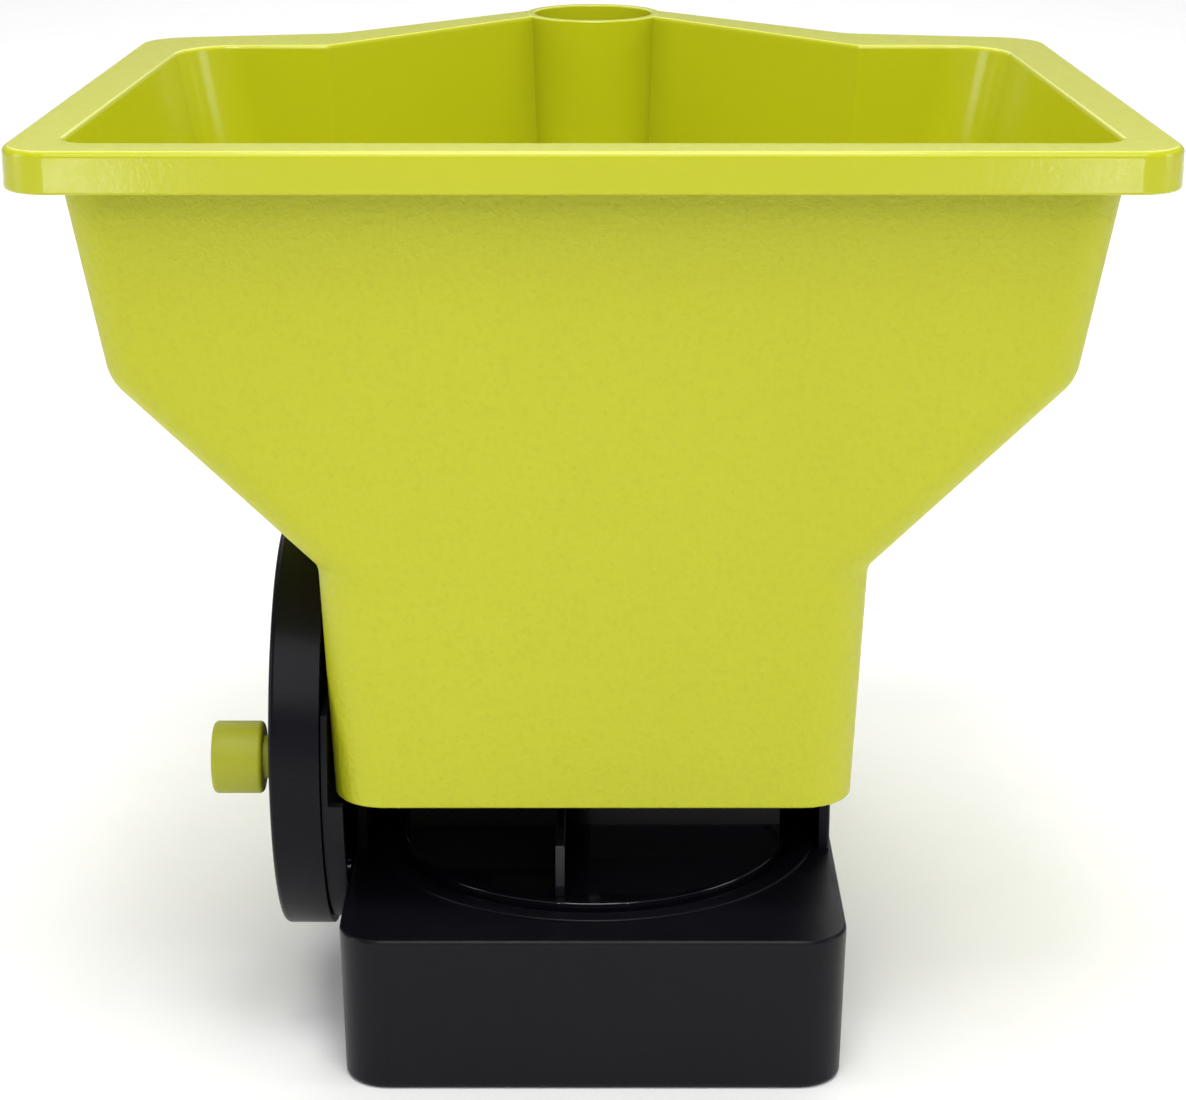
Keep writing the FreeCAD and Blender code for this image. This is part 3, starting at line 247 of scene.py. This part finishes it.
# ---------------------------------------------------------------- hopper
# Sizes are the part's own millimetres: Y runs back from the lip's front edge, Z is up.
MM = 0.001
CENTRE_Y = 112.5
KINK_REACH = 0.45             # least reach of the arc at a corner without a radius
WALL = 2.5
FUNNEL_LIFT = 1.0             # raises the inner funnel so that its wall stays WALL thick

RIM_Z = 200.0
RIM_HALF = 115.9
RIM_TAPER = 0.048
RIM_REAR_Y = 159.5
RIM_KINK = (62.0, 168.5)
RIM_APEX = (8.0, 220.0)
LIP_FOOT_Z = 191.5
LIP_SKIN = 2.4

FRONT_Y = 8.0                 # front wall at the rim
FRONT_LEAN = 3.0 / 141.0
TUB_HALF = 107.6
TUB_TAPER = 0.055
TUB_REAR_Y = 148.5
TUB_KINK_X = 64.8
VEE_SLOPE = 1.1
APEX_X = 8.0
BREAK_Z = 151.0               # where the tub turns into the funnel
BREAK_HALF = 98.6
BREAK_REAR_Y = 147.0
BREAK_KINK_X = 63.2
BREAK_APEX_Z = 165.0
NECK_TOP_Z = 110.5
NECK_TOP_HALF = 57.3
NECK_Z = 59.0
NECK_HALF = 55.0
NECK_REAR_Y = 103.0
NECK_KINK_X = 30.0

TUBE_PLACE = (0.0, 207.0)
TUBE_R = 17.5
TUBE_BORE_R = 15.0
TUBE_FOOT_Z = 12.0
TUBE_FLOOR = (101.0, 104.0)   # partition that ends the open bore
AXLE_PLACE = (57.5, 62.0)     # opening in the neck for the wheel's boss
AXLE_ROOM_R = 7.3
AXLE_ROOM_X = (-61.0, -45.0)
GATE_ROOM_X = (-29.0, 5.0)    # slot at the neck's rear foot for the gate's tail
GATE_ROOM_Y = (99.0, 106.0)
GATE_ROOM_TOP = 64.2
PIVOT_PLACE = (176.0, 120.0)  # trigger's pin
EAR_R = 6.0
EAR_ROOT_Y = 193.0
EAR_SPANS = (("left", -9.5, -6.5), ("right", 6.5, 9.5))
HANGER = [(160.5, 136.0), (166.5, 136.0), (166.5, 144.0), (160.5, 141.0)]
HANGER_HALF = 3.0


def metres(point):
    """Point in the part's millimetres, as metres in the model's frame."""
    return Vector((point[0], point[1] - CENTRE_Y, point[2])) * MM


def turn(a, b, c, reach, steps):
    """Points of a circular arc that rounds the corner b between a and c."""
    towards_a, towards_c = (a - b).normalized(), (c - b).normalized()
    weight = math.sin(towards_a.angle(towards_c) / 2.0)
    start, end = b + towards_a * reach, b + towards_c * reach
    points = []
    for step in range(steps + 1):
        t = step / steps
        parts = ((1.0 - t) ** 2, 2.0 * weight * t * (1.0 - t), t ** 2)
        points.append((start * parts[0] + b * parts[1] + end * parts[2]) / sum(parts))
    return points


def ring(corners, steps=7):
    """Closed outline through corners (x, y, z, radius), every corner with the same number of points."""
    places = [Vector(corner[:3]) for corner in corners]
    points = []
    for i, corner in enumerate(corners):
        before, here, after = places[i - 1], places[i], places[(i + 1) % len(places)]
        half = (before - here).angle(after - here) / 2.0
        reach = max(corner[3] / math.tan(half), KINK_REACH)
        points += turn(before, here, after, reach, steps)
    return points


def inset(corners, distance, lift=0.0):
    """Anticlockwise outline moved inwards and raised."""
    moved = []
    for i, (x, y, z, radius) in enumerate(corners):
        sides = []
        for a, b in ((corners[i - 1], corners[i]), (corners[i], corners[(i + 1) % len(corners)])):
            sides.append(Vector((a[1] - b[1], b[0] - a[0])).normalized())
        shift = (sides[0] + sides[1]) * (distance / (1.0 + sides[0].dot(sides[1])))
        inner = max(radius - distance, 0.5) if radius > 0 else 0
        moved.append((x + shift.x, y + shift.y, z + lift, inner))
    return moved


def level(corners, z):
    """Outline moved to one height."""
    return [(x, y, z, radius) for x, y, _, radius in corners]


def front_y(z):
    """Front wall's place, which leans back towards its foot."""
    return FRONT_Y + (RIM_Z - z) * FRONT_LEAN


def tub_outline(z, half, rear_y, kink_x, apex_z):
    """Outside of the tub at one height, as in the CAD model."""
    rear_half = half - TUB_TAPER * (rear_y - front_y(z))
    apex_y = rear_y + (kink_x - APEX_X) * VEE_SLOPE
    return [
        (-half, front_y(z), z, 9.0), (half, front_y(z), z, 9.0),
        (rear_half, rear_y, z, 17.0), (kink_x, rear_y, z, 0),
        (APEX_X, apex_y, apex_z, 0), (-APEX_X, apex_y, apex_z, 0),
        (-kink_x, rear_y, z, 0), (-rear_half, rear_y, z, 17.0),
    ]


def neck_outline(z, half):
    """Outside of the neck at one height, with as many corners as the tub has."""
    return [
        (-half, front_y(z), z, 11.0), (half, front_y(z), z, 11.0),
        (half, NECK_REAR_Y, z, 9.0), (NECK_KINK_X, NECK_REAR_Y, z, 0),
        (APEX_X, NECK_REAR_Y, z, 0), (-APEX_X, NECK_REAR_Y, z, 0),
        (-NECK_KINK_X, NECK_REAR_Y, z, 0), (-half, NECK_REAR_Y, z, 9.0),
    ]


def rim_outline():
    """Outer edge of the lip, seen from above."""
    rear_half = RIM_HALF - RIM_TAPER * RIM_REAR_Y
    return [
        (-RIM_HALF, 0, RIM_Z, 9.5), (RIM_HALF, 0, RIM_Z, 9.5),
        (rear_half, RIM_REAR_Y, RIM_Z, 11.0), (*RIM_KINK, RIM_Z, 14.0),
        (*RIM_APEX, RIM_Z, 0), (-RIM_APEX[0], RIM_APEX[1], RIM_Z, 0),
        (-RIM_KINK[0], RIM_KINK[1], RIM_Z, 14.0), (-rear_half, RIM_REAR_Y, RIM_Z, 11.0),
    ]


def mesh_piece(name, points, faces):
    """New piece in the scene from points and faces, with its normals outwards."""
    mesh = bpy.data.meshes.new(name)
    mesh.from_pydata(points, [], faces)
    shape = bmesh.new()
    shape.from_mesh(mesh)
    bmesh.ops.recalc_face_normals(shape, faces=shape.faces)
    shape.to_mesh(mesh)
    shape.free()
    thing = bpy.data.objects.new(name, mesh)
    bpy.context.scene.collection.objects.link(thing)
    return thing


def swept(name, profiles):
    """Closed skin through profiles that stand side by side in a ring, each itself a closed line."""
    across, along = len(profiles), len(profiles[0])
    points = [metres(point) for profile in profiles for point in profile]
    faces = []
    for i in range(across):
        following = (i + 1) % across
        for k in range(along):
            after = (k + 1) % along
            faces.append((i * along + k, following * along + k, following * along + after, i * along + after))
    return mesh_piece(name, points, faces)


def extruded(name, outline, start, end):
    """Prism along X over a polygon of (y, z) points, in the part's millimetres."""
    points = [metres((x, y, z)) for x in (start, end) for y, z in outline]
    count = len(outline)
    faces = [tuple(range(count)), tuple(range(count, 2 * count))]
    faces += [(k, (k + 1) % count, count + (k + 1) % count, count + k) for k in range(count)]
    return mesh_piece(name, points, faces)


def turned(name, outline, centre, steps=96):
    """Body of revolution about a vertical axis over a closed polygon of (radius, z) points."""
    points, faces = [], []
    count = len(outline)
    for i in range(steps):
        angle = 2.0 * math.pi * i / steps
        points += [metres((centre[0] + r * math.cos(angle), centre[1] + r * math.sin(angle), z))
                   for r, z in outline]
        following = (i + 1) % steps
        faces += [(i * count + k, following * count + k, following * count + (k + 1) % count,
                   i * count + (k + 1) % count) for k in range(count)]
    return mesh_piece(name, points, faces)


def cut(thing, tools):
    """Take the tools out of a piece and keep the result as its own mesh."""
    for tool in tools:
        step = thing.modifiers.new(tool.name, "BOOLEAN")
        step.operation = "DIFFERENCE"
        step.solver = "EXACT"
        step.object = tool
    graph = bpy.context.evaluated_depsgraph_get()
    made = bpy.data.meshes.new_from_object(thing.evaluated_get(graph))
    thing.modifiers.clear()
    thing.data = made
    for tool in tools:
        bpy.data.objects.remove(tool)


def soften(thing, width, angle=35.0, steps=2):
    """Round the sharp edges of a simple piece."""
    step = thing.modifiers.new("edges", "BEVEL")
    step.width = width * MM
    step.segments = steps
    step.limit_method = "ANGLE"
    step.angle_limit = math.radians(angle)
    graph = bpy.context.evaluated_depsgraph_get()
    made = bpy.data.meshes.new_from_object(thing.evaluated_get(graph))
    thing.modifiers.clear()
    thing.data = made


def shade(thing, angle=35.0):
    """Smooth shading that keeps flat faces flat."""
    thing.data.polygons.foreach_set("use_smooth", [True] * len(thing.data.polygons))
    thing.data.set_sharp_from_angle(angle=math.radians(angle))
    step = thing.modifiers.new("normals", "WEIGHTED_NORMAL")
    step.keep_sharp = True


def hopper_shell():
    """Lip, tub, funnel and neck as one skin, outside and inside."""
    top = tub_outline(RIM_Z, TUB_HALF, TUB_REAR_Y, TUB_KINK_X, RIM_Z)
    fold = tub_outline(BREAK_Z, BREAK_HALF, BREAK_REAR_Y, BREAK_KINK_X, BREAK_APEX_Z)
    neck_top, foot = neck_outline(NECK_TOP_Z, NECK_TOP_HALF), neck_outline(NECK_Z, NECK_HALF)
    rim = rim_outline()
    skin = inset(rim, LIP_SKIN)
    lip_under = RIM_Z - LIP_SKIN
    share = 0.049             # how far down from the rim to the fold the lip's underside is
    under = [(a[0] + (b[0] - a[0]) * share, a[1] + (b[1] - a[1]) * share, lip_under, a[3])
             for a, b in zip(top, fold)]
    levels = [
        (foot, 0.5, 3), (neck_top, 1.6, 4), (fold, 2.9, 6), (under, 0.9, 3),
        (level(skin, lip_under), 0.6, 2), (level(skin, LIP_FOOT_Z), 0.5, 2),
        (level(rim, LIP_FOOT_Z), 0.6, 4), (rim, 1.3, 6), (inset(top, WALL), 1.0, 5),
        (inset(fold, WALL, FUNNEL_LIFT), 2.0, 5), (inset(neck_top, WALL, FUNNEL_LIFT), 1.2, 4),
        (inset(foot, WALL), 0.5, 2),
    ]
    rings = [ring(corners) for corners, _, _ in levels]
    profiles = []
    for i in range(len(rings[0])):
        column = [points[i] for points in rings]
        profile = []
        for k, (_, reach, steps) in enumerate(levels):
            profile += turn(column[k - 1], column[k], column[(k + 1) % len(column)], reach, steps)
        profiles.append(profile)
    shell = swept("hopper_shell", profiles)
    dress(shell, "lime_plastic")
    shell.data.materials.append(GRAINED)
    outside = sum(steps + 1 for _, _, steps in levels[:3])
    for number, face in enumerate(shell.data.polygons):
        face.material_index = int(number % len(profiles[0]) < outside + 2)
    return shell


def rounded(outline, reaches, steps=4):
    """Closed polygon of pairs with each corner rounded by its own reach."""
    corners = [Vector((a, b, 0.0)) for a, b in outline]
    points = []
    for i, reach in enumerate(reaches):
        if reach == 0:
            points.append(corners[i])
        else:
            points += turn(corners[i - 1], corners[i], corners[(i + 1) % len(corners)], reach, steps)
    return [(point.x, point.y) for point in points]


def join_close(thing):
    """Merge points that lie in one place."""
    shape = bmesh.new()
    shape.from_mesh(thing.data)
    bmesh.ops.remove_doubles(shape, verts=shape.verts, dist=1e-7)
    shape.to_mesh(thing.data)
    shape.free()


def belongs(thing, slot, body, *nodes):
    """Finish a new piece: material, shading, the body it rides on and the nodes it stands for."""
    if not thing.data.materials:
        dress(thing, slot)
    shade(thing)
    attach(thing, body)
    if nodes:
        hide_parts(*nodes)


def arc(centre, radius, start, end, steps=16):
    """Points (y, z) on a circle, between two angles in degrees."""
    turns = [math.radians(start + (end - start) * k / steps) for k in range(steps + 1)]
    return [(centre[0] + radius * math.cos(a), centre[1] + radius * math.sin(a)) for a in turns]


def shell_rooms():
    """Shapes taken out of the shell for the tube, the wheel's boss and the gate's tail."""
    past = RIM_Z + 2.0
    boss_y = AXLE_PLACE[0]
    foot_z = NECK_Z - 2.0
    boss = arc(AXLE_PLACE, AXLE_ROOM_R, 0.0, 180.0)
    boss += [(boss_y - AXLE_ROOM_R, foot_z), (boss_y + AXLE_ROOM_R, foot_z)]
    near, far = GATE_ROOM_Y
    gate = [(near, foot_z), (far, foot_z), (far, GATE_ROOM_TOP), (near, GATE_ROOM_TOP)]
    return [
        turned("tube_room", [(0.0, 9.0), (TUBE_R - 0.1, 9.0), (TUBE_R - 0.1, past), (0.0, past)], TUBE_PLACE),
        extruded("boss_room", boss, *AXLE_ROOM_X),
        extruded("gate_room", gate, *GATE_ROOM_X),
    ]


def grip_tube():
    """Open tube behind the hopper, with the partition that ends its bore."""
    low, high = TUBE_FLOOR
    wall = [(TUBE_BORE_R, high), (TUBE_BORE_R, RIM_Z), (TUBE_R, RIM_Z), (TUBE_R, TUBE_FOOT_Z),
            (TUBE_BORE_R, TUBE_FOOT_Z), (TUBE_BORE_R, low), (0.0, low), (0.0, high)]
    tube = turned("grip_tube", rounded(wall, [0.6, 0.5, 0.5, 0.5, 0.4, 0.6, 0, 0]), TUBE_PLACE, 128)
    join_close(tube)
    return tube


def hopper():
    """Tub with its lip, funnel and neck, and the grip tube with the trigger's ears."""
    shell = hopper_shell()
    tools = shell_rooms()
    for tool in tools:
        join_close(tool)
    cut(shell, tools)
    belongs(shell, "lime_plastic", "base", "hopper")
    belongs(grip_tube(), "lime_plastic", "base", "hopper")

    root = [(EAR_ROOT_Y, PIVOT_PLACE[1] - EAR_R), (EAR_ROOT_Y, PIVOT_PLACE[1] + EAR_R)]
    for side, start, end in EAR_SPANS:
        ear = extruded("trigger_ear_" + side, arc(PIVOT_PLACE, EAR_R, 90.0, 270.0) + root, start, end)
        soften(ear, 0.5)
        belongs(ear, "lime_plastic", "base", "hopper")

    hanger = extruded("spring_hanger", HANGER, -HANGER_HALF, HANGER_HALF)
    soften(hanger, 0.6)
    belongs(hanger, "lime_plastic", "base", "hopper")


def pull_spring():
    """Trigger's spring as a copy of its CAD mesh, set in place, with the CAD spring hidden."""
    spring = bpy.data.objects.new("pull_spring", NODES["trigger_spring"].data.copy())
    bpy.context.scene.collection.objects.link(spring)
    spring.matrix_world = NODES["trigger_spring"].matrix_world
    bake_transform(spring)
    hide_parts("trigger_spring")


# ---------------------------------------------------------------- floor, light and camera
def floor():
    """Plain white paper on the ground."""
    mesh = bpy.data.meshes.new("floor")
    shape = bmesh.new()
    bmesh.ops.create_grid(shape, x_segments=1, y_segments=1, size=6.0)
    shape.to_mesh(mesh)
    shape.free()
    thing = bpy.data.objects.new("floor", mesh)
    bpy.context.scene.collection.objects.link(thing)
    tree = Tree("floor_paper")
    grain = tree.noise(35.0, 3.0, 0.5)
    colour = tree.mix(tree.spread(grain, 0.3, 0.7), (0.96, 0.96, 0.96), (0.94, 0.94, 0.94))
    roughness = tree.spread(grain, 0.3, 0.7, 0.75, 0.85)
    tree.finish(colour, roughness, tree.bump(grain, 0.0002, 0.1))
    mesh.materials.append(tree.material)


# Camera in the photo's pixels, fitted to its outlines.
PHOTO_WIDTH = 1186.0
FOCAL = 2930.0
CAMERA_LIFT = 15.0

# name: place, point it faces, width, height, watts
LAMPS = {
    "key": ((0.1, -1.35, 1.35), (0.0, 0.0, 0.12), 1.2, 1.2, 11.8),
    "over": ((0.0, -0.25, 0.75), (0.0, 0.05, 0.19), 0.25, 0.25, 2.0),
    "left": ((-1.4, -0.35, 0.45), (0.0, 0.0, 0.14), 0.5, 1.0, 4.0),
    "right": ((1.4, -0.35, 0.45), (0.0, 0.0, 0.14), 0.5, 1.0, 4.0),
    "strip_left": ((-0.205, -0.66, 0.09), (-0.105, -0.11, 0.19), 0.012, 0.12, 0.09),
    "strip_right": ((0.205, -0.66, 0.09), (0.105, -0.11, 0.19), 0.012, 0.12, 0.09),
    "top": ((0.0, 0.5, 1.7), (0.0, 0.0, 0.1), 1.8, 1.8, 18.0),
    "back": ((0.0, 2.4, 1.5), (0.0, 1.9, 0.0), 2.6, 2.6, 26.0),
}


def softbox(name, place, aim, width, height, power):
    """Rectangular area light facing a point."""
    data = bpy.data.lights.new(name, "AREA")
    data.shape = "RECTANGLE"
    data.size = width
    data.size_y = height
    data.energy = power
    lamp = bpy.data.objects.new(name, data)
    bpy.context.scene.collection.objects.link(lamp)
    lamp.location = place
    lamp.visible_camera = False
    lamp.rotation_euler = (Vector(aim) - Vector(place)).to_track_quat("-Z", "Y").to_euler()


def world(strength):
    """Even white light from all round."""
    made = bpy.data.worlds.new("studio")
    bpy.context.scene.world = made
    made.use_nodes = True
    made.node_tree.nodes["Background"].inputs["Color"].default_value = (1.0, 1.0, 1.0, 1.0)
    made.node_tree.nodes["Background"].inputs["Strength"].default_value = strength


def camera():
    """Long lens in front of the hopper, a little above it and tilted down."""
    data = bpy.data.cameras.new("camera")
    data.sensor_width = 36.0
    data.lens = FOCAL / PHOTO_WIDTH * data.sensor_width
    data.shift_y = CAMERA_LIFT / PHOTO_WIDTH
    data.clip_start = 0.01
    thing = bpy.data.objects.new("camera", data)
    bpy.context.scene.collection.objects.link(thing)
    thing.location = (0.0, -0.6725, 0.2985)
    thing.rotation_euler = (math.radians(72.0), 0.0, 0.0)
    bpy.context.scene.camera = thing


hopper()
pull_spring()
floor()
world(0.28)
for name, settings in LAMPS.items():
    softbox(name, *settings)
camera()
bpy.context.scene.view_settings.view_transform = "Standard"
